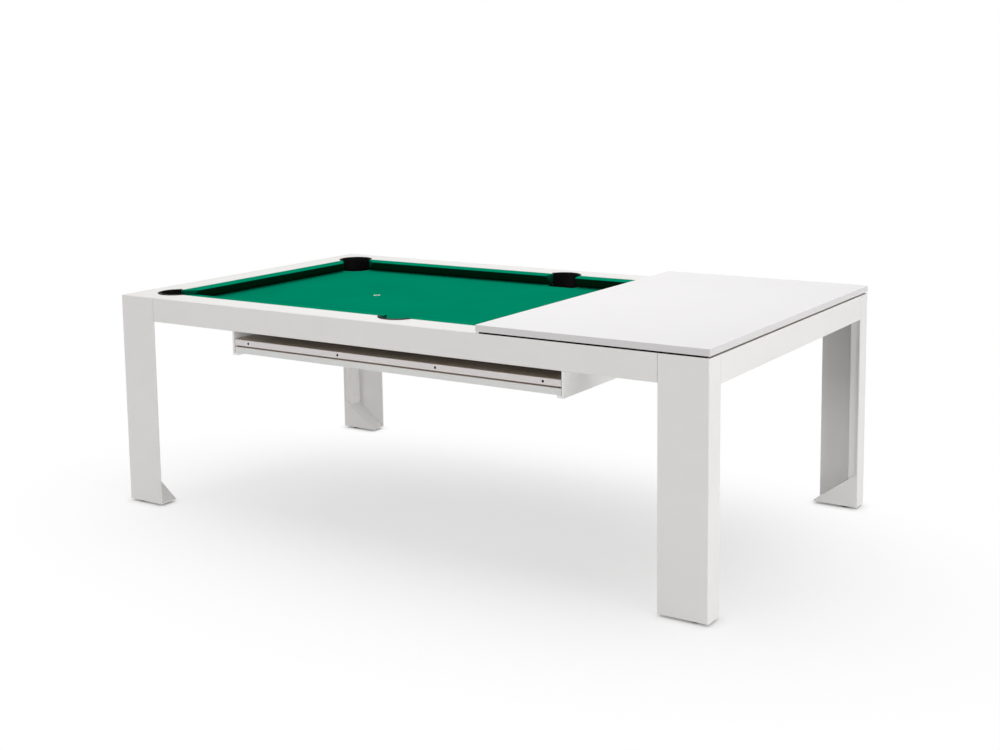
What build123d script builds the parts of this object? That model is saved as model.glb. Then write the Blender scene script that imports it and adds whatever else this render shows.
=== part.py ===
import os
from math import cos, atan2, radians, tan

from build123d import *

# Millimetres. The origin is on the floor under the middle of the table, +X runs along the long
# side, -Y is the front long side and +Z is up.

# Playing field, between the cushion noses, and what surrounds it
field_length = 1980.0
field_width = 990.0
rail_width = 105.0
cushion_width = 45.0

# Heights: the feet and legs up to the rails, and from there down to the foot of the aprons
foot_gap = 8.0
leg_height = 745.0
bed_depth = 42.0
cloth_thickness = 1.0
slate_thickness = 20.0
beam_height = 17.0

# Folded sheet of the legs and aprons
sheet = 4.0
bend_radius = 5.0
seam_gap = 1.2
fit_gap = 1.0

# Legs
leg_width = 157.0
leg_depth = 70.0
leg_box = 33.0
wedge_height = 121.0

# Levelling feet
foot_inset = 47.0
foot_radius = 22.5
foot_play = 1.0
foot_round = 2.0
stem_radius = 5.0
stem_length = 38.0
stem_clearance = 0.5
boss_radius = 9.0
boss_height = 10.0

# Slates, with a joint on each side of the middle, and out past the rail bolts
slate_joint = 380.0
slate_gap = 0.4
slate_edge = 30.0

# Apron flanges, cross beams and the bearers at the ends
flange_gap = 16.0
apron_bend = 5.0
beam_width = 60.0
beam_wall = 2.0
beam_end_gap = 20.0
bearer_inset = 20.0
bearer_bolt_gap = 2.5
bearer_end_gap = 12.0

# Corner brackets on welded studs, which are placed from the seam between leg and apron
bracket_thickness = 4.0
bracket_end = 25.0
stud_radius = 3.0
stud_length = 13.0
stud_clearance = 0.3
long_leg_stud = 42.0
long_apron_stud = 38.0
short_leg_stud = 25.0
short_apron_stud = 30.0
small_nut_radius = 5.77
small_nut_height = 5.0

# Hex bolts and nuts
hex_sides = 6
bolt_radius = 4.0
bolt_clearance = 0.5
thread_clearance = 0.1
head_radius = 7.5
head_height = 5.3
nut_height = 6.5
bolt_end = 2.0
rail_bolt_edge = 25.0
rail_bolt_grip = 25.0
rail_bolt_pocket = 175.0
flange_bolt_inset = 32.0

# Pockets, whose centres lie outside the nose lines, and the room round them in cloth, rails and slates
pocket_radius = 58.0
pocket_wall = 3.0
pocket_fit = 0.5
rail_fit = 3.5
slate_fit = 5.0
lip_width = 9.0
lip_height = 2.5
lip_round = 1.0
corner_setback = 13.0
side_setback = 25.0
side_shelf = 6.0
corner_cup_depth = 100.0
side_cup_depth = 93.0

# Cushions
nose_drop = 5.5
nose_radius = 3.0
cushion_top_drop = 0.5
cushion_lift = 1.5
cushion_foot = 18.0
cushion_fit = 0.3
corner_nose = 85.0
corner_jaw = 38.0
side_mouth = 130.0
side_jaw = 76.0
jaw_overcut = 5.0

# Spot on the cloth
spot_radius = 12.5
spot_ring = 4.5
spot_height = 0.3

# Leaves of the dining top
leaf_count = 3
leaf_thickness = 21.0
leaf_round = 1.5
pad_height = 5.0
pad_width = 15.0
pad_inset = 2.0
pad_end_gap = 12.0
middle_pad_end_gap = 180.0
dowel_count = 4
dowel_end = 61.5
dowel_radius = 4.0
dowel_out = 15.0
dowel_in = 25.0
dowel_fit = 0.15
socket_depth = 18.0

# Rack that stores the leaves under the bed
rack_setback = 50.0
rack_sheet = 8.0
rack_play = 2.5
rack_lip = 16.0
rack_lip_round = 1.5
rack_headroom = 3.0
rack_flange = 46.0
rack_back_play = 5.0
rack_back_height = 66.0
rack_bolt_offset = 26.0
rack_bolt_end = 90.0

# Sizes that follow
margin = rail_width + cushion_width
table_length = field_length + 2 * margin
table_width = field_width + 2 * margin
half_length = table_length / 2
half_width = table_width / 2
leg_bottom = foot_gap
rail_top = leg_bottom + leg_height
bed_top = rail_top - bed_depth
slate_top = bed_top - cloth_thickness
slate_bottom = slate_top - slate_thickness
flange_top = slate_bottom - beam_height
apron_bottom = flange_top - sheet
stud_z = flange_top + beam_height / 2
inner_bend = bend_radius - sheet
inset = sheet + fit_gap
leaf_width = table_length / leaf_count
liner_radius = pocket_radius + pocket_wall
hole_radius = liner_radius + pocket_fit
rail_hole = liner_radius + rail_fit
slate_hole = liner_radius + slate_fit
lip_radius = pocket_radius + lip_width
corner_inset = margin - corner_setback
side_inset = margin - side_setback
side_edge = field_width / 2 - side_shelf
corner_cup_bottom = rail_top - corner_cup_depth
side_cup_bottom = rail_top - side_cup_depth
rail_bolt_inset = rail_width - rail_bolt_edge
slate_inset = rail_bolt_inset - slate_edge
flange_width = side_inset - liner_radius - flange_gap
bearer_width = rail_bolt_inset - head_radius - bearer_bolt_gap - bearer_inset
rack_inner = half_width + rack_play
rack_outer = rack_inner + rack_sheet
outer_beam_x = rack_outer + fit_gap + beam_width / 2
long_leg_stud_u = leg_width - long_leg_stud
long_apron_stud_u = leg_width + long_apron_stud
short_leg_stud_v = leg_depth - short_leg_stud
short_apron_stud_v = leg_depth + short_apron_stud

low = Align.MIN
mid = Align.CENTER

os.makedirs("parts", exist_ok=True)


def corner(u, v):
    # a point measured inwards from the front left corner of the table
    return (u - half_length, v - half_width)


table_corners = [(x * half_length, y * half_width) for x in (-1, 1) for y in (-1, 1)]
corner_pockets = [
    (x * (half_length - corner_inset), y * (half_width - corner_inset))
    for x in (-1, 1)
    for y in (-1, 1)
]
side_pockets = [(0, y * (half_width - side_inset)) for y in (-1, 1)]

# Rail bolts: beside each pocket and halfway between
first_bolt = rail_bolt_pocket
last_bolt = half_length - corner_inset - rail_bolt_pocket
end_bolt = half_width - corner_inset - rail_bolt_pocket
rail_bolts_long = [
    (x * place, y * (half_width - rail_bolt_inset))
    for place in (first_bolt, (first_bolt + last_bolt) / 2, last_bolt)
    for x in (-1, 1)
    for y in (-1, 1)
]
rail_bolts_short = [
    (x * (half_length - rail_bolt_inset), place)
    for place in (-end_bolt, 0, end_bolt)
    for x in (-1, 1)
]
rail_bolt_places = rail_bolts_long + rail_bolts_short
beam_places = [-outer_beam_x, -slate_joint, slate_joint, outer_beam_x]
beam_bolt_places = [
    (x, y * (half_width - flange_bolt_inset)) for x in beam_places for y in (-1, 1)
]


def save(piece, name):
    piece.part.label = name
    export_step(piece.part, f"parts/{name}.step")


def save_pair(piece, name, first, second, about):
    # a piece and its mirror image
    save(piece, f"{name}_{first}")
    with BuildPart() as other:
        mirror(piece.part, about=about)
    save(other, f"{name}_{second}")
    return other


def save_corners(front_left, name):
    # a piece at the front left corner and its three mirror images
    front_right = save_pair(front_left, name, "front_left", "front_right", Plane.YZ)
    with BuildPart() as back_left:
        mirror(front_left.part, about=Plane.XZ)
    save(back_left, f"{name}_back_left")
    with BuildPart() as back_right:
        mirror(front_right.part, about=Plane.XZ)
    save(back_right, f"{name}_back_right")


along_x = (0, 90, 0)
along_y = (-90, 0, 0)

# Legs: an L of folded sheet whose narrow side is closed to a box, on a base with a sloped wedge
wedge_slope = (wedge_height - sheet) / leg_width
wedge_plate = sheet / cos(atan2(wedge_height - sheet, leg_width))
wedge_start = leg_box - sheet / 2
wedge_top = wedge_height - wedge_slope * wedge_start
wedge_side = Plane((-half_length, -half_width, leg_bottom), x_dir=(1, 0, 0), z_dir=(0, -1, 0))

with BuildPart() as leg:
    with BuildSketch(Plane.XY.offset(leg_bottom)) as angle:
        with BuildLine():
            Polyline(
                corner(leg_width, 0),
                corner(0, 0),
                corner(0, leg_depth),
                corner(sheet, leg_depth),
                corner(sheet, sheet),
                corner(leg_width, sheet),
                close=True,
            )
        make_face()
        fillet(angle.vertices().sort_by_distance(corner(0, 0))[0], bend_radius)
        fillet(angle.vertices().sort_by_distance(corner(sheet, sheet))[0], inner_bend)
    extrude(amount=leg_height)
    with BuildSketch(Plane.XY.offset(leg_bottom)):
        with Locations(corner(leg_box - sheet, sheet / 2)):
            Rectangle(sheet, leg_depth - sheet / 2 - sheet, align=(low, low))
        with Locations(corner(sheet / 2, leg_depth - 2 * sheet)):
            Rectangle(leg_box - sheet / 2, sheet, align=(low, low))
    extrude(amount=apron_bottom - leg_bottom)
    with BuildSketch(Plane.XY.offset(leg_bottom)) as base:
        with Locations(corner(0, 0)):
            Rectangle(leg_width, leg_depth, align=(low, low))
        fillet(base.vertices().sort_by_distance(corner(0, 0))[0], bend_radius)
    extrude(amount=sheet)
    with BuildSketch(wedge_side.offset(-leg_depth)):
        with BuildLine():
            Polyline(
                (sheet / 2, 0),
                (leg_width, 0),
                (leg_width, sheet),
                (sheet / 2, wedge_height - wedge_slope * sheet / 2),
                close=True,
            )
        make_face()
    extrude(amount=sheet)
    with BuildSketch(wedge_side.offset(-leg_depth + sheet / 2)):
        with BuildLine():
            Polyline(
                (wedge_start, wedge_top),
                (leg_width, sheet),
                (leg_width, 0),
                (leg_width - (wedge_plate - sheet) / wedge_slope, 0),
                (wedge_start, wedge_top - wedge_plate),
                close=True,
            )
        make_face()
    extrude(amount=leg_depth - sheet)
    with Locations((*corner(foot_inset, leg_depth / 2), leg_bottom)):
        Cylinder(boss_radius, sheet + boss_height, align=(mid, mid, low))
        Cylinder(
            stem_radius + stem_clearance,
            sheet + boss_height,
            align=(mid, mid, low),
            mode=Mode.SUBTRACT,
        )
save_corners(leg, "leg")

# Levelling feet: a round pad on a threaded stem
with BuildPart() as foot:
    with Locations((*corner(foot_inset, leg_depth / 2), 0)):
        Cylinder(foot_radius, foot_gap - foot_play, align=(mid, mid, low))
    fillet(foot.edges().group_by(Axis.Z)[-1], foot_round)
    with Locations((*corner(foot_inset, leg_depth / 2), foot_gap - foot_play)):
        Cylinder(stem_radius, stem_length, align=(mid, mid, low))
save_corners(foot, "levelling_foot")


def apron_profile(face):
    # upright face with a flange turned in at its foot, in a plane across the apron
    with BuildSketch(face) as section:
        with BuildLine():
            Polyline(
                (0, apron_bottom),
                (flange_width, apron_bottom),
                (flange_width, flange_top),
                (sheet, flange_top),
                (sheet, rail_top),
                (0, rail_top),
                close=True,
            )
        make_face()
        fillet(section.vertices().sort_by_distance((0, apron_bottom))[0], apron_bend)
        fillet(section.vertices().sort_by_distance((sheet, flange_top))[0], apron_bend - sheet)
    return section.sketch


# Aprons: folded sheet between the legs, flush with their faces
long_apron_half = half_length - leg_width - seam_gap
end_apron_half = half_width - leg_depth - seam_gap
long_section = Plane((-long_apron_half, -half_width, 0), x_dir=(0, 1, 0), z_dir=(1, 0, 0))
end_section = Plane((-half_length, end_apron_half, 0), x_dir=(1, 0, 0), z_dir=(0, -1, 0))

with BuildPart() as long_apron:
    extrude(apron_profile(long_section), amount=2 * long_apron_half)
    with Locations(*[(x, flange_bolt_inset - half_width, apron_bottom) for x in beam_places]):
        Cylinder(
            bolt_radius + bolt_clearance, sheet, align=(mid, mid, low), mode=Mode.SUBTRACT
        )
save_pair(long_apron, "apron", "front", "back", Plane.XZ)

with BuildPart() as end_apron:
    extrude(apron_profile(end_section), amount=2 * end_apron_half)
save_pair(end_apron, "apron", "left", "right", Plane.YZ)

# Corner brackets tie each leg to its two aprons, on studs from their inner faces
bracket_bottom = flange_top + fit_gap
bracket_inside = sheet + bracket_thickness
bracket_long = long_apron_stud_u + bracket_end
bracket_short = short_apron_stud_v + bracket_end
long_studs = [(*corner(u, sheet), stud_z) for u in (long_leg_stud_u, long_apron_stud_u)]
short_studs = [(*corner(sheet, v), stud_z) for v in (short_leg_stud_v, short_apron_stud_v)]


def round_bars(radius, length, mode=Mode.ADD):
    # bars at the studs of one corner, inwards from the sheet
    with Locations(*long_studs):
        Cylinder(radius, length, rotation=along_y, align=(mid, mid, low), mode=mode)
    with Locations(*short_studs):
        Cylinder(radius, length, rotation=along_x, align=(mid, mid, low), mode=mode)


with BuildPart() as bracket:
    with BuildSketch(Plane.XY.offset(bracket_bottom)) as plan:
        with BuildLine():
            Polyline(
                corner(bracket_long, sheet),
                corner(sheet, sheet),
                corner(sheet, bracket_short),
                corner(bracket_inside, bracket_short),
                corner(bracket_inside, bracket_inside),
                corner(bracket_long, bracket_inside),
                close=True,
            )
        make_face()
        fillet(plan.vertices().sort_by_distance(corner(sheet, sheet))[0], bend_radius)
    extrude(amount=slate_bottom - fit_gap - bracket_bottom)
    round_bars(stud_radius + stud_clearance, bracket_inside, Mode.SUBTRACT)
save_corners(bracket, "corner_bracket")


def small_nuts(face, places):
    # hex nuts on a bracket, each with a flat side up
    with BuildSketch(face) as nuts:
        with Locations(*places):
            RegularPolygon(small_nut_radius, hex_sides, rotation=180 / hex_sides)
            Circle(stud_radius + thread_clearance, mode=Mode.SUBTRACT)
    extrude(nuts.sketch, amount=small_nut_height)


with BuildPart() as bracket_studs:
    round_bars(stud_radius, stud_length)
    small_nuts(
        Plane((0, bracket_inside - half_width, 0), x_dir=(1, 0, 0), z_dir=(0, 1, 0)),
        [(x, -z) for x, y, z in long_studs],
    )
    small_nuts(
        Plane((bracket_inside - half_length, 0, 0), x_dir=(0, 1, 0), z_dir=(1, 0, 0)),
        [(y, z) for x, y, z in short_studs],
    )
    mirror(about=Plane.YZ)
    mirror(about=Plane.XZ)
save(bracket_studs, "bracket_studs")

# Cross beams: flat tube from apron flange to apron flange, two of them under the slate joints
beam_half = half_width - beam_end_gap
beam_middle = flange_top + beam_height / 2
rack_front = rack_setback - half_width
rack_back = rack_front + leaf_width + dowel_out + rack_back_play + rack_sheet
rack_bolt_x = outer_beam_x - beam_width / 2 + rack_bolt_offset
rack_bolt_places = [
    (x * rack_bolt_x, y)
    for x in (-1, 1)
    for y in (rack_front + rack_bolt_end, rack_back - rack_bolt_end)
]


def flat_tube(x, half, width):
    # a tube along y, from -half to half
    with BuildSketch(Plane((x, half, beam_middle), x_dir=(1, 0, 0), z_dir=(0, -1, 0))) as section:
        Rectangle(width, beam_height)
        Rectangle(width - 2 * beam_wall, beam_height - 2 * beam_wall, mode=Mode.SUBTRACT)
    extrude(section.sketch, amount=2 * half)


beam_names = ["outer_left", "inner_left", "inner_right", "outer_right"]
for name, beam_x in zip(beam_names, beam_places):
    bores = [
        (x, y, flange_top)
        for x, y in beam_bolt_places + rack_bolt_places
        if abs(x - beam_x) < beam_width / 2
    ]
    with BuildPart() as beam:
        flat_tube(beam_x, beam_half, beam_width)
        with Locations(*bores):
            Cylinder(
                bolt_radius + bolt_clearance, beam_wall, align=(mid, mid, low), mode=Mode.SUBTRACT
            )
    save(beam, f"cross_beam_{name}")

# End bearers: shorter tubes on the end flanges, between the corner pockets
bearer_half = half_width - corner_inset - liner_radius - bearer_end_gap
bearer_x = half_length - bearer_inset - bearer_width / 2
with BuildPart() as bearer:
    flat_tube(-bearer_x, bearer_half, bearer_width)
save_pair(bearer, "end_bearer", "left", "right", Plane.YZ)


def bolts(places, seat, grip):
    # hex heads under their seat and shanks upwards from it
    with BuildSketch(Plane.XY.offset(seat - head_height)) as heads:
        with Locations(*places):
            RegularPolygon(head_radius, hex_sides)
    extrude(heads.sketch, amount=head_height)
    with BuildSketch(Plane.XY.offset(seat)) as shanks:
        with Locations(*places):
            Circle(bolt_radius)
    extrude(shanks.sketch, amount=grip)


nut_seat = flange_top + beam_wall
bolt_tip = nut_seat + nut_height + bolt_end
rack_seat = flange_top - rack_sheet
with BuildPart() as frame_bolts:
    bolts(beam_bolt_places, apron_bottom, bolt_tip - apron_bottom)
    bolts(rack_bolt_places, rack_seat, bolt_tip - rack_seat)
save(frame_bolts, "frame_bolts")

with BuildPart() as frame_nuts:
    with BuildSketch(Plane.XY.offset(nut_seat)):
        with Locations(*beam_bolt_places, *rack_bolt_places):
            RegularPolygon(head_radius, hex_sides)
            Circle(bolt_radius + thread_clearance, mode=Mode.SUBTRACT)
    extrude(amount=nut_height)
save(frame_nuts, "frame_nuts")


def bed_plan(height, left, right, hole):
    # the bed from left to right, notched at its corners and sides for the pockets: the side
    # notches end in a straight edge near the nose line
    with BuildSketch(Plane.XY.offset(height)) as plan:
        Rectangle(table_length - 2 * slate_inset, table_width - 2 * slate_inset)
        with Locations(*table_corners):
            Rectangle(2 * corner_inset, 2 * corner_inset, mode=Mode.SUBTRACT)
        with Locations((0, -half_width), (0, half_width)):
            Rectangle(2 * hole, 2 * side_inset, mode=Mode.SUBTRACT)
        with Locations(*corner_pockets, *side_pockets):
            Circle(hole, mode=Mode.SUBTRACT)
        Rectangle(2 * hole, 2 * side_edge)
        with Locations(*rail_bolt_places):
            Circle(bolt_radius + bolt_clearance, mode=Mode.SUBTRACT)
        with Locations((left, 0)):
            Rectangle(right - left, table_width, align=(low, mid), mode=Mode.INTERSECT)
    return plan.sketch


# Bed: three slates and the cloth stretched over them
with BuildPart() as middle_slate:
    slate_plan = bed_plan(slate_bottom, -slate_joint, slate_joint, slate_hole)
    extrude(slate_plan, amount=slate_thickness)
save(middle_slate, "slate_middle")

with BuildPart() as end_slate:
    slate_plan = bed_plan(slate_bottom, -half_length, -slate_joint - slate_gap, slate_hole)
    extrude(slate_plan, amount=slate_thickness)
save_pair(end_slate, "slate", "left", "right", Plane.YZ)

with BuildPart() as bed_cloth:
    extrude(bed_plan(slate_top, -half_length, half_length, hole_radius), amount=cloth_thickness)
save(bed_cloth, "bed_cloth")

with BuildPart() as foot_spot:
    with BuildSketch(Plane.XY.offset(bed_top)):
        with Locations((-field_length / 4, 0)):
            Circle(spot_radius)
            Circle(spot_radius - spot_ring, mode=Mode.SUBTRACT)
    extrude(amount=spot_height)
save(foot_spot, "foot_spot")


def rail_board(outline, bolt_places):
    # a board on the edge of the bed, cut round for the pockets and bored for its bolts
    with BuildSketch(Plane.XY.offset(bed_top)) as plan:
        with BuildLine():
            Polyline(*outline, close=True)
        make_face()
        RectangleRounded(
            table_length - 2 * inset, table_width - 2 * inset, inner_bend, mode=Mode.INTERSECT
        )
        with Locations(*corner_pockets, *side_pockets):
            Circle(rail_hole, mode=Mode.SUBTRACT)
    extrude(plan.sketch, amount=bed_depth)
    with Locations(*[(x, y, bed_top) for x, y in bolt_places]):
        Cylinder(
            bolt_radius + thread_clearance, rail_bolt_grip, align=(mid, mid, low), mode=Mode.SUBTRACT
        )


# Rails: six boards inside the sheet, butted at the corners and behind the side pockets
with BuildPart() as side_rail:
    rail_board(
        [
            corner(inset, inset),
            corner(half_length, inset),
            corner(half_length, rail_width),
            corner(inset, rail_width),
        ],
        [(x, y) for x, y in rail_bolts_long if x < 0 and y < 0],
    )
save_corners(side_rail, "rail")

with BuildPart() as end_rail:
    rail_board(
        [
            corner(inset, rail_width),
            corner(rail_width, rail_width),
            corner(rail_width, table_width - rail_width),
            corner(inset, table_width - rail_width),
        ],
        [(x, y) for x, y in rail_bolts_short if x < 0],
    )
save_pair(end_rail, "rail", "left_end", "right_end", Plane.YZ)

with BuildPart() as rail_bolts:
    bolts(rail_bolt_places, slate_bottom, bed_top + rail_bolt_grip - bolt_end - slate_bottom)
save(rail_bolts, "rail_bolts")


def cushion(face, length, plan):
    # rubber strip with a rounded nose, its ends cut to the pocket jaws
    nose_z = rail_top - nose_drop
    back = rail_width + cushion_fit
    with BuildSketch(face) as section:
        with BuildLine():
            Polyline(
                (rail_width + cushion_foot, bed_top + cushion_lift),
                (back, bed_top + cushion_lift),
                (back, rail_top - cushion_top_drop),
            )
            CenterArc((margin - nose_radius, nose_z), nose_radius, 0, 360)
        make_hull()
    extrude(section.sketch, amount=length)
    with BuildSketch(Plane.XY.offset(bed_top)) as ends:
        with BuildLine():
            Polyline(*plan, close=True)
        make_face()
    extrude(ends.sketch, amount=bed_depth, mode=Mode.INTERSECT)
    with Locations(*[(x, y, bed_top) for x, y in corner_pockets + side_pockets]):
        Cylinder(hole_radius, bed_depth, align=(mid, mid, low), mode=Mode.SUBTRACT)


# Cushions: one along each end and two along each side, with the side pocket between them
near_edge = rail_width - jaw_overcut
far_edge = margin + jaw_overcut


def corner_cut(v):
    # where a corner jaw is, along the rail, at a distance from the outer face
    return margin + corner_nose + (v - margin) / tan(radians(corner_jaw))


def side_cut(v):
    return -side_mouth / 2 - (v - margin) / tan(radians(side_jaw))


with BuildPart() as side_cushion:
    cushion(
        Plane((-half_length, -half_width, 0), x_dir=(0, 1, 0), z_dir=(1, 0, 0)),
        half_length,
        [
            corner(corner_cut(far_edge), far_edge),
            corner(corner_cut(near_edge), near_edge),
            (side_cut(near_edge), near_edge - half_width),
            (side_cut(far_edge), far_edge - half_width),
        ],
    )
save_corners(side_cushion, "cushion")

with BuildPart() as end_cushion:
    cushion(
        Plane((-half_length, half_width, 0), x_dir=(1, 0, 0), z_dir=(0, -1, 0)),
        table_width,
        [
            corner(far_edge, corner_cut(far_edge)),
            corner(near_edge, corner_cut(near_edge)),
            corner(near_edge, table_width - corner_cut(near_edge)),
            corner(far_edge, table_width - corner_cut(far_edge)),
        ],
    )
save_pair(end_cushion, "cushion", "left_end", "right_end", Plane.YZ)


# Pockets: a moulded liner, with a lip on the rail and a cup under the bed, open to the field
with BuildPart() as corner_pocket:
    with Locations((*corner(corner_inset, corner_inset), corner_cup_bottom)):
        Cylinder(liner_radius, corner_cup_depth, align=(mid, mid, low))
    with Locations((*corner(corner_inset, corner_inset), rail_top)):
        Cylinder(lip_radius, lip_height, align=(mid, mid, low))
    fillet(corner_pocket.edges().group_by(Axis.Z)[-1], lip_round)
    with Locations((*corner(corner_inset, corner_inset), corner_cup_bottom + pocket_wall)):
        Cylinder(pocket_radius, corner_cup_depth, align=(mid, mid, low), mode=Mode.SUBTRACT)
    with Locations((*corner(rail_width, rail_width), bed_top)):
        Box(
            2 * lip_radius,
            2 * lip_radius,
            bed_depth + lip_height,
            align=(low, low, low),
            mode=Mode.SUBTRACT,
        )
save_corners(corner_pocket, "pocket")

side_centre = side_inset - half_width
side_front = -side_edge - pocket_fit


def side_cup(height, radius, front):
    # the round cup with a straight front wall
    with BuildSketch(Plane.XY.offset(height)) as plan:
        with Locations((0, side_centre)):
            Circle(radius)
        with Locations((0, front)):
            Rectangle(2 * radius, 2 * radius, align=(mid, low), mode=Mode.SUBTRACT)
    return plan.sketch


with BuildPart() as side_pocket:
    extrude(side_cup(side_cup_bottom, liner_radius, side_front), amount=side_cup_depth)
    with Locations((0, side_centre, rail_top)):
        Cylinder(lip_radius, lip_height, align=(mid, mid, low))
    fillet(side_pocket.edges().group_by(Axis.Z)[-1], lip_round)
    hollow = side_cup(side_cup_bottom + pocket_wall, pocket_radius, side_front - pocket_wall)
    extrude(hollow, amount=side_cup_depth, mode=Mode.SUBTRACT)
    with Locations((0, rail_width - half_width, bed_top)):
        Box(
            2 * lip_radius,
            2 * lip_radius,
            bed_depth + lip_height,
            align=(mid, low, low),
            mode=Mode.SUBTRACT,
        )
save_pair(side_pocket, "pocket_side", "front", "back", Plane.XZ)


# Leaves: each is drawn from the middle of a joint edge, x away from that edge and z towards its face
dowel_spacing = (table_width - 2 * dowel_end) / (dowel_count - 1)
dowel_places = [dowel_end - half_width + i * dowel_spacing for i in range(dowel_count)]


def leaf_board(plane, bore_radius, bore_depth, edges):
    with BuildPart(plane) as board:
        Box(leaf_width, table_width, leaf_thickness, align=(low, mid, low))
        fillet(board.edges(), leaf_round)
        for x in edges:
            with Locations(*[(x, y, leaf_thickness / 2) for y in dowel_places]):
                Cylinder(bore_radius, 2 * bore_depth, rotation=along_x, mode=Mode.SUBTRACT)
    return board


def leaf_pads(plane, end_gap):
    with BuildPart(plane) as pads:
        pad_y = half_width - pad_inset - pad_width / 2
        with Locations((leaf_width / 2, pad_y, -pad_height), (leaf_width / 2, -pad_y, -pad_height)):
            Box(leaf_width - 2 * end_gap, pad_width, pad_height, align=(mid, mid, low))
    return pads


def leaf_dowels(plane):
    with BuildPart(plane) as dowels:
        with Locations(*[(-dowel_out, y, leaf_thickness / 2) for y in dowel_places]):
            Cylinder(dowel_radius, dowel_out + dowel_in, rotation=along_x, align=(mid, mid, low))
    return dowels


def save_end_leaf(plane, name):
    # an outer leaf: dowels along one edge, the other edge plain
    save(leaf_board(plane, dowel_radius + thread_clearance, dowel_in, [0]), name)
    save(leaf_pads(plane, pad_end_gap), f"{name}_pads")
    save(leaf_dowels(plane), f"{name}_dowels")


# The right leaf lies on the rails at the right end
save_end_leaf(
    Plane((half_length - leaf_width, 0, rail_top + pad_height), x_dir=(1, 0, 0), z_dir=(0, 0, 1)),
    "right_leaf",
)

# The left and the middle leaf are stacked face down in the rack, turned a quarter, with room for
# the third
leaf_pitch = leaf_thickness + pad_height
stack_height = leaf_count * leaf_pitch - pad_height
lip_top = side_cup_bottom - rack_headroom - stack_height
lower_back = lip_top + leaf_thickness
save_end_leaf(
    Plane((0, rack_front + leaf_width, lower_back), x_dir=(0, -1, 0), z_dir=(0, 0, -1)),
    "left_leaf",
)
middle_plane = Plane((0, rack_front, lower_back + leaf_pitch), x_dir=(0, 1, 0), z_dir=(0, 0, -1))
save(
    leaf_board(middle_plane, dowel_radius + dowel_fit, socket_depth, [0, leaf_width]),
    "middle_leaf",
)
save(leaf_pads(middle_plane, middle_pad_end_gap), "middle_leaf_pads")

# Rack: a bent plate at each end, hung under the outer beams, and a stop across the back
lip_bottom = lip_top - rack_sheet
with BuildPart() as rack_end:
    with BuildSketch(Plane((0, rack_back, 0), x_dir=(1, 0, 0), z_dir=(0, -1, 0))) as bent_plate:
        with BuildLine():
            Polyline(
                (-rack_inner + rack_lip, lip_bottom),
                (-rack_outer, lip_bottom),
                (-rack_outer, rack_seat),
                (-rack_outer - rack_flange, rack_seat),
                (-rack_outer - rack_flange, flange_top),
                (-rack_inner, flange_top),
                (-rack_inner, lip_top),
                (-rack_inner + rack_lip, lip_top),
                close=True,
            )
        make_face()
        fillet(bent_plate.vertices().sort_by_distance((-rack_outer, lip_bottom))[0], rack_lip_round)
    extrude(amount=rack_back - rack_front)
    with Locations(*[(x, y, rack_seat) for x, y in rack_bolt_places if x < 0]):
        Cylinder(
            bolt_radius + bolt_clearance, rack_sheet, align=(mid, mid, low), mode=Mode.SUBTRACT
        )
save_pair(rack_end, "rack_end", "left", "right", Plane.YZ)

with BuildPart() as rack_stop:
    with Locations((0, rack_back, lip_top)):
        Box(2 * rack_inner, rack_sheet, rack_back_height, align=(mid, Align.MAX, low))
save(rack_stop, "rack_back_stop")

print("leaf top at", rail_top + pad_height + leaf_thickness)
print("rack lip at", lip_top, "third leaf top at", lip_top + stack_height)
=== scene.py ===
import math

import bmesh
import bpy
from mathutils import Euler, Matrix, Vector


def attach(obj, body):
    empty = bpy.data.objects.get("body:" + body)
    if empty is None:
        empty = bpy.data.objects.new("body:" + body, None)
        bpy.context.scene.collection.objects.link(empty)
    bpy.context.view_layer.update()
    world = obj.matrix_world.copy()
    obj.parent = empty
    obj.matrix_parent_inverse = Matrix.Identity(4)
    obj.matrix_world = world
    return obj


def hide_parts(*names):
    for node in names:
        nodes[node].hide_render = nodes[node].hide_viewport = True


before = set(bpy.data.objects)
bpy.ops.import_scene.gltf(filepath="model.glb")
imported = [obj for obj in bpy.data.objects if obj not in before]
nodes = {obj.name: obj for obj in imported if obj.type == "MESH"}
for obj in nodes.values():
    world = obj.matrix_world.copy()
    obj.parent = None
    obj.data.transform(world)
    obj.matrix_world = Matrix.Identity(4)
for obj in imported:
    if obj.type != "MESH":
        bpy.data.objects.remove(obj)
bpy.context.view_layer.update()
mm = 0.001
print("frame loaded:", len(nodes), "nodes")

# Sizes that the pieces share, and how near two places count as the same, in metres
halfLength = 1.140
halfWidth = 0.645
bedTop = 0.711
samePlace = 1e-6
nearPlace = 1e-5


def linear(colour):
    # an sRGB hex colour as linear light
    parts = [int(colour[i:i + 2], 16) / 255 for i in (1, 3, 5)]
    return (*[c / 12.92 if c <= 0.04045 else ((c + 0.055) / 1.055) ** 2.4 for c in parts], 1)


def addNode(tree, kind, settings={}, links={}):
    # a node with its settings, by property or socket, and what feeds it
    node = tree.nodes.new(kind)
    for name, value in settings.items():
        if isinstance(name, str) and hasattr(node, name):
            setattr(node, name, value)
        else:
            node.inputs[name].default_value = value
    for name, socket in links.items():
        tree.links.new(socket, node.inputs[name])
    return node


def startMaterial(name, look):
    # the shader with the values that are the same all over, and the object's own coordinates
    material = bpy.data.materials.new(name)
    material.use_nodes = True
    tree = material.node_tree
    shader = tree.nodes["Principled BSDF"]
    for socket, value in look["shader"].items():
        shader.inputs[socket].default_value = value
    place = addNode(tree, "ShaderNodeTexCoord")
    return material, tree, shader, place.outputs["Object"]


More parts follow.
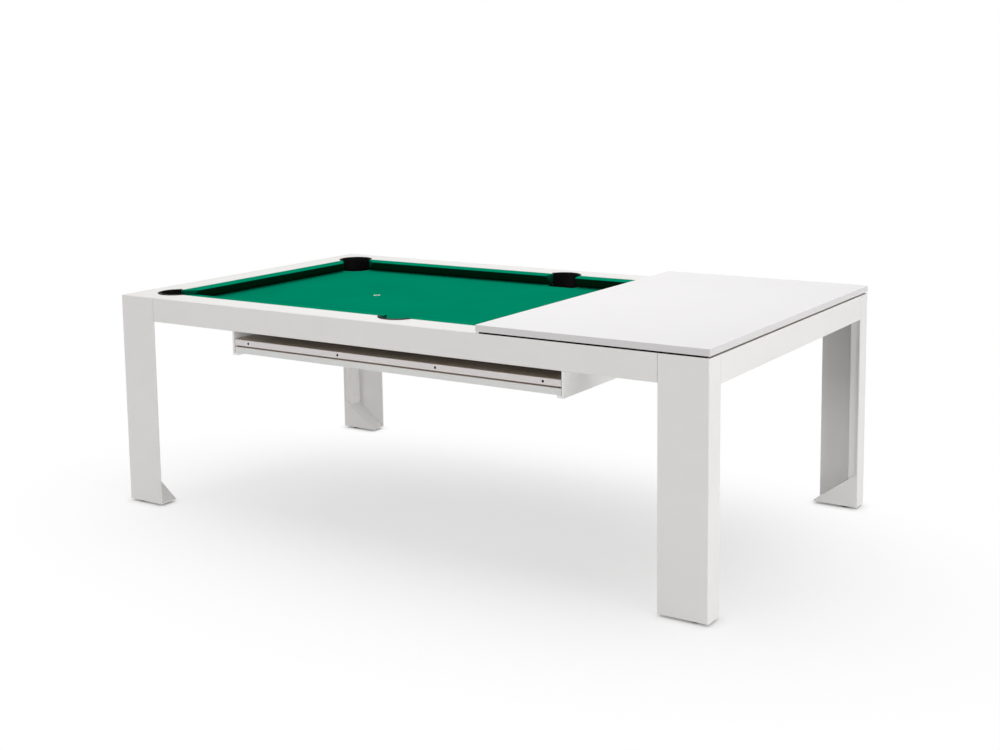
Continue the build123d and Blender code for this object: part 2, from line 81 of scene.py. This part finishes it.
def finishSurface(tree, shader, look, tone, grain):
    # colour between two tones, roughness between two values, and a bump. Returns the colour
    colour = addNode(tree, "ShaderNodeMix",
                     {"data_type": "RGBA", 6: linear(look["dark"]), 7: linear(look["light"])},
                     {0: tone})
    rough = addNode(tree, "ShaderNodeMapRange",
                    {"To Min": look["rough"][0], "To Max": look["rough"][1]}, {"Value": grain})
    bump = addNode(tree, "ShaderNodeBump",
                   {"Strength": look["bump"], "Distance": look["depth"] * mm}, {"Height": grain})
    tree.links.new(colour.outputs[2], shader.inputs["Base Color"])
    tree.links.new(rough.outputs[0], shader.inputs["Roughness"])
    tree.links.new(bump.outputs[0], shader.inputs["Normal"])
    return colour.outputs[2]


def finishGrainy(tree, shader, look, place):
    # a cloudy colour and a fine grain, both of them noise at sizes in millimetres. Returns the colour
    tone = addNode(tree, "ShaderNodeTexNoise",
                   {"Scale": 1 / (look["cloud"] * mm), "Detail": 4, "Roughness": 0.6}, {"Vector": place})
    grain = addNode(tree, "ShaderNodeTexNoise",
                    {"Scale": 1 / (look["grain"] * mm), "Detail": 3, "Roughness": 0.55}, {"Vector": place})
    return finishSurface(tree, shader, look, tone.outputs[0], grain.outputs[0])


def makeGrainy(name, look):
    material, tree, shader, place = startMaterial(name, look)
    finishGrainy(tree, shader, look, place)
    return material


# Powder coat baked on folded steel: an even white with a fine orange peel and a broad satin highlight.
# The peel is about 1 mm across on the real coat, and is drawn at 2.5 mm so that it shows.
coatLook = {
    "dark": "#E4E2E0", "light": "#EAE9E7", "cloud": 180, "grain": 2.5,
    "rough": (0.36, 0.48), "bump": 0.18, "depth": 0.12,
    "shader": {"Metallic": 0, "IOR": 1.5},
}
whiteCoat = makeGrainy("powderCoatWhite", coatLook)
# The same coat on the rack, drawn in a brighter white: painted light that makes up for the shade the table
# casts on the rack.
rackCoat = makeGrainy("powderCoatWhiteWithPaintedLight", {**coatLook, "dark": "#F1F0EE", "light": "#F6F5F3"})

# Grey powder coat on the hidden beams, flatter and coarser than the white.
greyCoat = makeGrainy("powderCoatGrey", {
    "dark": "#5A5A5A", "light": "#686867", "cloud": 120, "grain": 2.2,
    "rough": (0.5, 0.66), "bump": 0.3, "depth": 0.15,
    "shader": {"Metallic": 0, "IOR": 1.5},
})

# Moulded rubber of the pocket liners: nearly black, a little grey where light grazes it.
linerRubber = makeGrainy("mouldedRubber", {
    "dark": "#030303", "light": "#080808", "cloud": 25, "grain": 1.6,
    "rough": (0.5, 0.66), "bump": 0.35, "depth": 0.15,
    "shader": {"Metallic": 0, "IOR": 1.5, "Specular IOR Level": 0.1},
})

# Foamed rubber strip under each leaf: matt and open-pored.
stripRubber = makeGrainy("foamedRubber", {
    "dark": "#050506", "light": "#0B0B0C", "cloud": 12, "grain": 0.9,
    "rough": (0.82, 0.95), "bump": 0.6, "depth": 0.2,
    "shader": {"Metallic": 0, "IOR": 1.5, "Specular IOR Level": 0.1},
})

# Moulded nylon of the levelling feet: a dull black with a faint sheen.
footNylon = makeGrainy("mouldedNylon", {
    "dark": "#0B0B0C", "light": "#141415", "cloud": 14, "grain": 1.2,
    "rough": (0.5, 0.65), "bump": 0.3, "depth": 0.12,
    "shader": {"Metallic": 0, "IOR": 1.53},
})

# Bright zinc on the bolts and nuts: soft grey metal with a faint crystal mottle.
boltZinc = makeGrainy("zincPlate", {
    "dark": "#A4A6A9", "light": "#C0C2C5", "cloud": 5, "grain": 1.1,
    "rough": (0.3, 0.46), "bump": 0.15, "depth": 0.05,
    "shader": {"Metallic": 1},
})

# Ground steel of the dowels: bright, with a fine even sheen.
dowelSteel = makeGrainy("groundSteel", {
    "dark": "#B4B5B8", "light": "#CBCCCE", "cloud": 9, "grain": 0.8,
    "rough": (0.22, 0.36), "bump": 0.15, "depth": 0.04,
    "shader": {"Metallic": 1},
})

# Sawn slate: dark warm grey with cloudy beds in it and a rough face.
bedSlate = makeGrainy("sawnSlate", {
    "dark": "#463F38", "light": "#5E564D", "cloud": 60, "grain": 4,
    "rough": (0.7, 0.88), "bump": 0.5, "depth": 0.4,
    "shader": {"Metallic": 0, "IOR": 1.55},
})

# Gummed paper of the stuck-on spot: off-white and quite matt.
spotPaper = makeGrainy("gummedPaper", {
    "dark": "#DCDBD6", "light": "#EDECE8", "cloud": 3, "grain": 0.9,
    "rough": (0.75, 0.9), "bump": 0.3, "depth": 0.08,
    "shader": {"Metallic": 0, "IOR": 1.45},
})


def makeLeafBoard(name, look):
    # lacquer on the face, a greyer lipping round the edges, bare board on the back, and the dowel holes
    # painted near-black inside as painted shade
    material, tree, shader, place = startMaterial(name, look)
    lacquer = finishGrainy(tree, shader, look, place)
    direction = addNode(tree, "ShaderNodeTexCoord")
    up = addNode(tree, "ShaderNodeSeparateXYZ", {}, {0: direction.outputs["Normal"]}).outputs["Z"]
    slope = addNode(tree, "ShaderNodeMath", {"operation": "ABSOLUTE"}, {0: up})
    flat = addNode(tree, "ShaderNodeMapRange",
                   {"From Min": look["faceFrom"], "From Max": look["faceTo"]}, {"Value": slope.outputs[0]})
    edged = addNode(tree, "ShaderNodeMix", {"data_type": "RGBA", 6: linear(look["lipping"])},
                    {0: flat.outputs[0], 7: lacquer})

    fibre = addNode(tree, "ShaderNodeTexNoise",
                    {"Scale": 1 / (look["fibre"] * mm), "Detail": 5, "Roughness": 0.7}, {"Vector": place})
    back = addNode(tree, "ShaderNodeMapRange",
                   {"From Min": look["backFrom"] * look["backSide"],
                    "From Max": look["backTo"] * look["backSide"]}, {"Value": up})
    board = addNode(tree, "ShaderNodeMix",
                    {"data_type": "RGBA", 6: linear(look["boardDark"]), 7: linear(look["boardLight"])},
                    {0: fibre.outputs[0]})
    backed = addNode(tree, "ShaderNodeMix", {"data_type": "RGBA"},
                     {0: back.outputs[0], 6: edged.outputs[2], 7: board.outputs[2]})

    # painted shade: every surface inside the core box, the insides of the dowel holes, takes a near-black
    spot = addNode(tree, "ShaderNodeSeparateXYZ", {}, {0: place})
    inside = None
    for axis, centre, reach in zip("XYZ", look["coreCentre"], look["coreReach"]):
        near = addNode(tree, "ShaderNodeMath", {"operation": "COMPARE", 1: centre * mm, 2: reach * mm},
                       {0: spot.outputs[axis]}).outputs[0]
        inside = near if inside is None else addNode(tree, "ShaderNodeMath", {"operation": "MULTIPLY"},
                                                     {0: inside, 1: near}).outputs[0]
    withHoleShade = addNode(tree, "ShaderNodeMix", {"data_type": "RGBA", 7: linear(look["holeShade"])},
                    {0: inside, 6: backed.outputs[2]})
    tree.links.new(withHoleShade.outputs[2], shader.inputs["Base Color"])
    return material


# Board of the dining leaves: sprayed lacquer with a slight ripple, smoother than the powder coat, over
# pale backing board that is left bare on the back. The stored leaves lie with that back up, so their
# backSide is 1. Face and back are told from the lipping by how far a surface points up or down. The core
# box, in millimetres, holds the dowel holes of the middle leaf, painted near-black inside as painted shade.
leafLook = {
    "dark": "#E6E4E5", "light": "#EBE9EA", "cloud": 260, "grain": 6, "fibre": 5,
    "rough": (0.3, 0.4), "bump": 0.1, "depth": 0.1,
    "lipping": "#D8D6D6", "boardDark": "#D8C5B1", "boardLight": "#E7D8C7", "holeShade": "#060505",
    "faceFrom": 0.5, "faceTo": 0.9, "backFrom": 0.7, "backTo": 0.9, "backSide": -1,
    "coreCentre": (0, -215, 620.5), "coreReach": (640, 379.6, 9),
    "shader": {"Metallic": 0, "IOR": 1.5},
}
leafLacquer = makeLeafBoard("lacquerOnBoard", leafLook)
# The stored leaves' lipping is drawn lighter than the right leaf's: painted light that makes up for the
# apron's shade over their edges.
middleLacquer = makeLeafBoard("lacquerOnMiddleBoard", {**leafLook, "backSide": 1, "lipping": "#E4DFDE"})
leftLacquer = makeLeafBoard("lacquerOnLeftBoard", {**leafLook, "backSide": 1, "lipping": "#E2E3E1"})


def makeCloth(name, look):
    # warp and weft as two crossed bands under a soft nap, a slow change of tone, and painted shade on faces
    # that turn away from up
    material, tree, shader, place = startMaterial(name, look)
    threads = []
    for axis in ("X", "Y"):
        threads.append(addNode(tree, "ShaderNodeTexWave",
                               {"wave_type": "BANDS", "bands_direction": axis,
                                "Scale": math.pi / (10 * look["thread"] * mm),  # bands repeat each pi / 10
                                "Distortion": look["waver"], "Detail": 2, "Detail Scale": 1.5},
                               {"Vector": place}))
    weave = addNode(tree, "ShaderNodeMath", {"operation": "MULTIPLY"},
                    {0: threads[0].outputs["Fac"], 1: threads[1].outputs["Fac"]})
    nap = addNode(tree, "ShaderNodeTexNoise",
                  {"Scale": 1 / (look["nap"] * mm), "Detail": 4, "Roughness": 0.65}, {"Vector": place})
    grain = addNode(tree, "ShaderNodeMath", {"operation": "ADD"},
                    {0: weave.outputs[0], 1: nap.outputs[0]})
    half = addNode(tree, "ShaderNodeMath", {"operation": "MULTIPLY", 1: 0.5}, {0: grain.outputs[0]})
    tone = addNode(tree, "ShaderNodeTexNoise",
                   {"Scale": 1 / (look["cloud"] * mm), "Detail": 3, "Roughness": 0.5}, {"Vector": place})
    both = addNode(tree, "ShaderNodeMix", {"data_type": "FLOAT", 0: look["weaveShare"]},
                   {2: tone.outputs[0], 3: half.outputs[0]})
    wool = finishSurface(tree, shader, look, both.outputs[0], half.outputs[0])

    # painted shade: the more a face turns away from up, as under a cushion's nose and on its jaws, the more
    # it takes the deep green
    direction = addNode(tree, "ShaderNodeTexCoord")
    up = addNode(tree, "ShaderNodeSeparateXYZ", {}, {0: direction.outputs["Normal"]})
    shadeByFacing = addNode(tree, "ShaderNodeMapRange",
                    {"From Min": look["underFrom"], "From Max": look["underTo"]}, {"Value": up.outputs["Z"]})
    withPaintedShade = addNode(tree, "ShaderNodeMix", {"data_type": "RGBA", 6: linear(look["under"])},
                     {0: shadeByFacing.outputs[0], 7: wool})
    tree.links.new(withPaintedShade.outputs[2], shader.inputs["Base Color"])
    return material


# Worsted wool: a tight napped weave, quite matt.
# Its threads are about 0.4 mm apart, and are drawn 2 mm apart so that they show.
clothLook = {
    "dark": "#007A5A", "light": "#00906E", "cloud": 240, "thread": 2.0, "waver": 1.2, "nap": 3.0,
    "weaveShare": 0.4, "rough": (0.82, 0.95), "bump": 0.45, "depth": 0.25,
    # under is the colour of the painted shade, and underFrom to underTo the range of facing over which it
    # gives way to the wool
    "under": "#00301F", "underFrom": -0.1, "underTo": 0.5,
    "shader": {"Metallic": 0, "Specular IOR Level": 0},
}
bedWool = makeCloth("worstedBedCloth", clothLook)
cushionWool = makeCloth("worstedCushionCloth", {**clothLook, "dark": "#00805F", "light": "#019773"})
print("materials made:", len(bpy.data.materials))

# Which finish each kind of node takes
finishes = {
    "leg_": whiteCoat, "apron_": whiteCoat, "rail_": whiteCoat, "rack_": rackCoat,
    "right_leaf": leafLacquer, "middle_leaf": middleLacquer, "left_leaf": leftLacquer,
    "slate_": bedSlate, "foot_spot": spotPaper, "pocket_": linerRubber,
    "corner_bracket_": greyCoat, "cross_beam_": greyCoat, "end_bearer_": greyCoat,
    "bracket_studs": boltZinc, "frame_bolts": boltZinc, "frame_nuts": boltZinc, "rail_bolts": boltZinc,
    "levelling_foot_": footNylon,
}
endings = {"_pads": stripRubber, "_dowels": dowelSteel}

for name, node in nodes.items():
    starts = [s for s in finishes if name.startswith(s)]
    finish = finishes[max(starts, key=len)] if starts else None
    for ending, special in endings.items():
        if name.endswith(ending):
            finish = special
    if finish:
        node.data.materials.clear()
        node.data.materials.append(finish)
print("CAD nodes finished")


def makePiece(name, bm, material, sharpAngle=35):
    # a bmesh as a finished object on the table, with its place in its mesh
    bmesh.ops.recalc_face_normals(bm, faces=bm.faces)
    if bm.calc_volume(signed=True) < 0:  # a long thin strip can come out inside out
        bmesh.ops.reverse_faces(bm, faces=bm.faces)
    mesh = bpy.data.meshes.new(name)
    bm.to_mesh(mesh)
    bm.free()
    for face in mesh.polygons:
        face.use_smooth = True
    mesh.set_sharp_from_angle(angle=math.radians(sharpAngle))
    mesh.materials.append(material)
    piece = bpy.data.objects.new(name, mesh)
    bpy.context.scene.collection.objects.link(piece)
    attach(piece, "table")
    return piece


# Bed cloth: one sheet stretched over the slates, notched round the pockets
clothCut = {
    "edge": 50 * mm, "thickness": 1.0 * mm, "roundOver": 0.4 * mm,
    "cornerInset": 137 * mm, "sideInset": 125 * mm, "sideStraight": 156 * mm,
    "holeRadius": 61.5 * mm, "cornerSteps": 27, "sideSteps": 5,
    "turnDown": 16 * mm, "turnWithin": 3 * mm, "upright": 0.5,
}


def spinChain(bm, start, centre, angle, steps):
    # swings a vertex round a centre into a chain of edges, and returns its last vertex
    made = bmesh.ops.spin(bm, geom=[start], cent=centre, axis=(0, 0, 1), angle=angle, steps=steps)
    return [v for v in made["geom_last"] if isinstance(v, bmesh.types.BMVert)][0]


def makeBedCloth(cut):
    bm = bmesh.new()
    height = bedTop - cut["thickness"]
    radius = cut["holeRadius"]

    def point(u, v):
        return bm.verts.new((u - halfLength, v - halfWidth, height))

    # the front left quarter, as a chain from the side pocket round to the left edge
    reach = math.sqrt(radius ** 2 - (cut["sideStraight"] - cut["sideInset"]) ** 2)
    sideStart = point(halfLength - reach, cut["sideStraight"])
    middle = point(halfLength, cut["sideStraight"])
    bm.edges.new((middle, sideStart))
    sideCentre = Vector((0, cut["sideInset"] - halfWidth, height))
    sweep = math.asin((cut["sideStraight"] - cut["sideInset"]) / radius)
    sideEnd = spinChain(bm, sideStart, sideCentre, sweep, cut["sideSteps"])
    chain = [sideEnd, point(halfLength - radius, cut["edge"]), point(cut["cornerInset"], cut["edge"]),
             point(cut["cornerInset"], cut["cornerInset"] - radius)]
    for first, second in zip(chain, chain[1:]):
        bm.edges.new((first, second))
    cornerCentre = Vector((cut["cornerInset"] - halfLength, cut["cornerInset"] - halfWidth, height))
    cornerEnd = spinChain(bm, chain[-1], cornerCentre, 1.5 * math.pi, cut["cornerSteps"])
    chain = [cornerEnd, point(cut["edge"], cut["cornerInset"]), point(cut["edge"], halfWidth)]
    for first, second in zip(chain, chain[1:]):
        bm.edges.new((first, second))

    for axis in ("X", "Y"):
        bmesh.ops.mirror(bm, geom=bm.verts[:] + bm.edges[:], axis=axis, merge_dist=samePlace)
    bmesh.ops.remove_doubles(bm, verts=bm.verts, dist=samePlace)
    bmesh.ops.contextual_create(bm, geom=bm.edges[:])
    border = bmesh.ops.inset_region(bm, faces=bm.faces[:], use_boundary=True, use_even_offset=True,
                                    thickness=cut["thickness"])["faces"]
    grown = bmesh.ops.extrude_face_region(bm, geom=bm.faces[:])
    top = [v for v in grown["geom"] if isinstance(v, bmesh.types.BMVert)]
    bmesh.ops.translate(bm, verts=top, vec=(0, 0, cut["thickness"]))

    # round the pockets the cloth is turned down over the edge of the slates
    corner = Vector((halfLength - cut["cornerInset"], halfWidth - cut["cornerInset"]))
    side = Vector((0, halfWidth - cut["sideInset"]))

    def fromPocket(vert):
        place = Vector((abs(vert.co.x), abs(vert.co.y)))
        return min((place - corner).length, (place - side).length) - radius

    turned = [f for f in border if f.is_valid
              and all(-nearPlace < fromPocket(v) < cut["turnWithin"] for v in f.verts)]
    hem = bmesh.ops.extrude_face_region(bm, geom=turned)
    low = [v for v in hem["geom"] if isinstance(v, bmesh.types.BMVert)]
    bmesh.ops.translate(bm, verts=low, vec=(0, 0, -cut["turnDown"]))
    bmesh.ops.delete(bm, geom=[f for f in turned if f.is_valid], context="FACES")
    rim = [e for e in bm.edges if all(abs(v.co.z - bedTop) < samePlace for v in e.verts)
           and len(e.link_faces) == 2 and any(abs(f.normal.z) < cut["upright"] for f in e.link_faces)]
    bmesh.ops.bevel(bm, geom=rim, offset=cut["roundOver"], segments=2, profile=0.5,
                    affect="EDGES", material=-1)
    return bm


bedCloth = makePiece("stretchedBedCloth", makeBedCloth(clothCut), bedWool)
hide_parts("bed_cloth")
print("bed cloth:", len(bedCloth.data.polygons), "faces")

# Cushions: a rubber strip under stretched cloth. The section is across the rail, inwards and up from the
# floor. Each rounded corner has its size and its number of steps. Sizes are in millimetres, and weld and
# cutReach, within which points count as one, in metres.
cushionCut = {
    "backBottom": (105.3, 712.5), "backTop": (105.3, 752.5), "nose": (153.0, 750.2), "foot": (123.0, 712.5),
    "rounds": {"nose": (5.8, 7), "backTop": (1.6, 3), "foot": (2.5, 3)}, "endRound": (1.1, 3),
    "endAngle": 50, "weld": 2e-5, "cutReach": 1e-7, "margin": 150, "cornerNose": 85, "cornerJaw": 38,
    "sideNose": 65, "sideJaw": 76, "jawRun": 40,
    "cornerBack": (189.7, 105.3), "cornerMeet": (196.0, 119.5),
    "sideBack": (58.0, 105.3), "sideMeet": (61.2, 133.5),
}


def makeCushionStrip(cut, length, sideEnd):
    # lies along X from the corner of the table, with a corner end at 0 and another or a side end at length
    bm = bmesh.new()
    corners = [bm.verts.new((0, cut[p][0] * mm, cut[p][1] * mm))
               for p in ("backBottom", "backTop", "nose", "foot")]
    face = bm.faces.new(corners)
    grown = bmesh.ops.extrude_face_region(bm, geom=[face])
    far = [v for v in grown["geom"] if isinstance(v, bmesh.types.BMVert)]
    bmesh.ops.translate(bm, verts=far, vec=(length * mm, 0, 0))

    for corner, (size, steps) in cut["rounds"].items():
        y, z = cut[corner][0] * mm, cut[corner][1] * mm
        line = [e for e in bm.edges
                if all(abs(v.co.y - y) < nearPlace and abs(v.co.z - z) < nearPlace for v in e.verts)]
        bmesh.ops.bevel(bm, geom=line, offset=size * mm, segments=steps, profile=0.5,
                        affect="EDGES", material=-1)

    def trim(first, second):
        # removes what is on the pocket's side of a line in plan, and closes the cut
        a, b = Vector((*first, 0)) * mm, Vector((*second, 0)) * mm
        across = Vector((b.y - a.y, a.x - b.x, 0))
        middle = Vector((length * mm / 2, cut["backTop"][0] * mm, 0))
        if (middle - a).dot(across) > 0:
            across.negate()
        cutLine = bmesh.ops.bisect_plane(bm, geom=bm.verts[:] + bm.edges[:] + bm.faces[:], plane_co=a,
                                         plane_no=across, clear_outer=True, dist=cut["cutReach"])
        rim = [e for e in cutLine["geom_cut"] if isinstance(e, bmesh.types.BMEdge)]
        bmesh.ops.contextual_create(bm, geom=rim)

    slope = 1 / math.tan(math.radians(cut["cornerJaw"]))
    noseAt = cut["margin"] + cut["cornerNose"]
    run = cut["jawRun"]
    jaw = [(noseAt, cut["margin"]), (noseAt - run * slope, cut["margin"] - run)]
    pocket = [cut["cornerBack"], cut["cornerMeet"]]
    trim(*jaw)
    trim(*pocket)
    if sideEnd:
        lean = 1 / math.tan(math.radians(cut["sideJaw"]))
        trim((length - cut["sideNose"], cut["margin"]),
             (length - cut["sideNose"] + run * lean, cut["margin"] - run))
        trim(*[(length - cut[p][0], cut[p][1]) for p in ("sideBack", "sideMeet")])
    else:
        trim(*[(length - x, y) for x, y in jaw])
        trim(*[(length - x, y) for x, y in pocket])

    # the edges at the ends, but not those that lie against the rail
    endSize, endSteps = cut["endRound"]
    sharp = math.radians(cut["endAngle"])
    ends = [e for e in bm.edges if len(e.link_faces) == 2 and e.calc_face_angle() > sharp
            and not all(abs(v.co.y - cut["backTop"][0] * mm) < nearPlace for v in e.verts)]
    bmesh.ops.bevel(bm, geom=ends, offset=endSize * mm, segments=endSteps, profile=0.5,
                    affect="EDGES", material=-1)
    bmesh.ops.remove_doubles(bm, verts=bm.verts, dist=cut["weld"])
    return bm


# A side cushion runs from a corner to the side pocket, and an end cushion from corner to corner
frontLeft = Matrix.Translation((-halfLength, -halfWidth, 0))
leftEnd = Matrix(((0, 1, 0, -halfLength), (1, 0, 0, -halfWidth), (0, 0, 1, 0), (0, 0, 0, 1)))
mirrorX = Matrix.Scale(-1, 4, (1, 0, 0))
mirrorY = Matrix.Scale(-1, 4, (0, 1, 0))
cushionPlaces = {
    "front_left": (frontLeft, True), "front_right": (mirrorX @ frontLeft, True),
    "back_left": (mirrorY @ frontLeft, True), "back_right": (mirrorX @ mirrorY @ frontLeft, True),
    "left_end": (leftEnd, False), "right_end": (mirrorX @ leftEnd, False),
}
for place, (matrix, sideEnd) in cushionPlaces.items():
    strip = makeCushionStrip(cushionCut, (halfLength if sideEnd else 2 * halfWidth) / mm, sideEnd)
    strip.transform(matrix)
    cushion = makePiece("clothCushion_" + place, strip, cushionWool)
    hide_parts("cushion_" + place)
    print("cushion", place, len(cushion.data.polygons), "faces")

# Studio: a white floor that fades into the white background, and soft light from above, front and right.
# In an oval under the table the floor shows its own shading, lightened by a painted glow that lifts the
# table's shadow; the oval's centre and reach follow that shadow, and beyond it the floor fades to white.
studio = {
    "floorSize": 60, "floorWhite": "#FCFCFC", "floorRough": 0.9,
    "shadeCentre": (0.16, -0.31, 0), "shadeReach": (1.36, 0.80, 1),
    "fadeFrom": 0.26, "fadeTo": 1.57, "floorGlow": 0.55, "contact": 40, "contactSamples": 8,
    "worldColour": "#FFFFFF", "worldLevel": 0.4,
}


def seenDirectly(tree):
    # 1 where the camera, a reflection or a clear material looks, and 0 for light on the object
    path = addNode(tree, "ShaderNodeLightPath")
    first = addNode(tree, "ShaderNodeMath", {"operation": "MAXIMUM"},
                    {0: path.outputs["Is Camera Ray"], 1: path.outputs["Is Glossy Ray"]})
    return addNode(tree, "ShaderNodeMath", {"operation": "MAXIMUM"},
                   {0: first.outputs[0], 1: path.outputs["Is Transmission Ray"]}).outputs[0]


floorMesh = bmesh.new()
bmesh.ops.create_grid(floorMesh, x_segments=4, y_segments=4, size=studio["floorSize"] / 2)
floorData = bpy.data.meshes.new("studioFloor")
floorMesh.to_mesh(floorData)
floorMesh.free()
floor = bpy.data.objects.new("studioFloor", floorData)
bpy.context.scene.collection.objects.link(floor)

floorPaper, tree, shader, place = startMaterial("floorPaper", {"shader": {
    "Base Color": linear(studio["floorWhite"]), "Roughness": studio["floorRough"],
    "Specular IOR Level": 0.0}})
spread = addNode(tree, "ShaderNodeMapping",
                 {"vector_type": "TEXTURE", "Location": studio["shadeCentre"],
                  "Scale": studio["shadeReach"]},
                 {"Vector": place})
distance = addNode(tree, "ShaderNodeVectorMath", {"operation": "LENGTH"}, {0: spread.outputs[0]})
fade = addNode(tree, "ShaderNodeMapRange",
               {"interpolation_type": "SMOOTHSTEP", "From Min": studio["fadeFrom"],
                "From Max": studio["fadeTo"], "To Min": studio["floorGlow"]},
               {"Value": distance.outputs["Value"]})
# where the floor is hemmed in, as under the feet, the painted glow is taken away so the gaps keep their own
# dark shade
contact = addNode(tree, "ShaderNodeAmbientOcclusion",
                  {"samples": studio["contactSamples"], "Distance": studio["contact"] * mm})
dimmed = addNode(tree, "ShaderNodeMath", {"operation": "MULTIPLY"},
                 {0: fade.outputs[0], 1: contact.outputs["AO"]})
share = addNode(tree, "ShaderNodeMath", {"operation": "MULTIPLY"},
                {0: dimmed.outputs[0], 1: seenDirectly(tree)})
glow = addNode(tree, "ShaderNodeEmission", {"Color": (1, 1, 1, 1), "Strength": 1.0})
both = addNode(tree, "ShaderNodeMixShader", {},
               {0: share.outputs[0], 1: shader.outputs[0], 2: glow.outputs[0]})
tree.links.new(both.outputs[0], tree.nodes["Material Output"].inputs["Surface"])
floorData.materials.append(floorPaper)

world = bpy.data.worlds.new("studioWorld")
bpy.context.scene.world = world
world.use_nodes = True
tree = world.node_tree
tree.nodes.clear()
dome = addNode(tree, "ShaderNodeBackground",
               {"Color": linear(studio["worldColour"]), "Strength": studio["worldLevel"]})
white = addNode(tree, "ShaderNodeBackground", {"Color": (1, 1, 1, 1), "Strength": 1.0})
mixed = addNode(tree, "ShaderNodeMixShader", {},
                {0: seenDirectly(tree), 1: dome.outputs[0], 2: white.outputs[0]})
addNode(tree, "ShaderNodeOutputWorld", {}, {"Surface": mixed.outputs[0]})

lamps = {
    "overheadSoft": {"at": (0.0, 0.1, 3.2), "to": (0.0, 0.0, 0.5), "size": (4.0, 3.0), "power": 63},
    "frontSoft": {"at": (-4.0, -9.4, 2.1), "to": (0.0, 0.0, 0.5), "size": (4.0, 1.4), "power": 150},
    "rightSoft": {"at": (8.6, -2.2, 0.9), "to": (0.0, 0.0, 0.5), "size": (4.0, 1.4), "power": 272},
}
for name, lamp in lamps.items():
    data = bpy.data.lights.new(name, "AREA")
    data.shape = "RECTANGLE"
    data.size, data.size_y = lamp["size"]
    data.energy = lamp["power"]
    light = bpy.data.objects.new(name, data)
    light.location = lamp["at"]
    light.rotation_euler = (Vector(lamp["to"]) - Vector(lamp["at"])).to_track_quat("-Z", "Y").to_euler()
    bpy.context.scene.collection.objects.link(light)

# Camera: fitted to the photograph, with a small shift of the lens to keep the legs upright. The focal
# length is in pixels of a picture 1000 wide, the angles are in radians and the sensor in millimetres.
shot = {
    "at": (2.6898, -4.0451, 1.5184), "turn": 0.57806, "tilt": 0.12864, "roll": -0.01232,
    "focal": 1403.83, "pictureWidth": 1000, "sensor": 36, "shiftY": -0.12,
}
cameraData = bpy.data.cameras.new("camera")
cameraData.sensor_width = shot["sensor"]
cameraData.lens = shot["focal"] / shot["pictureWidth"] * shot["sensor"]
cameraData.shift_y = shot["shiftY"]
camera = bpy.data.objects.new("camera", cameraData)
camera.location = shot["at"]
aim = Euler((math.pi / 2 - shot["tilt"], 0, shot["turn"])).to_matrix()
camera.rotation_euler = (aim @ Matrix.Rotation(shot["roll"], 3, "Z")).to_euler()
bpy.context.scene.collection.objects.link(camera)
bpy.context.scene.camera = camera

bpy.context.scene.view_settings.view_transform = "Standard"
print("studio ready")
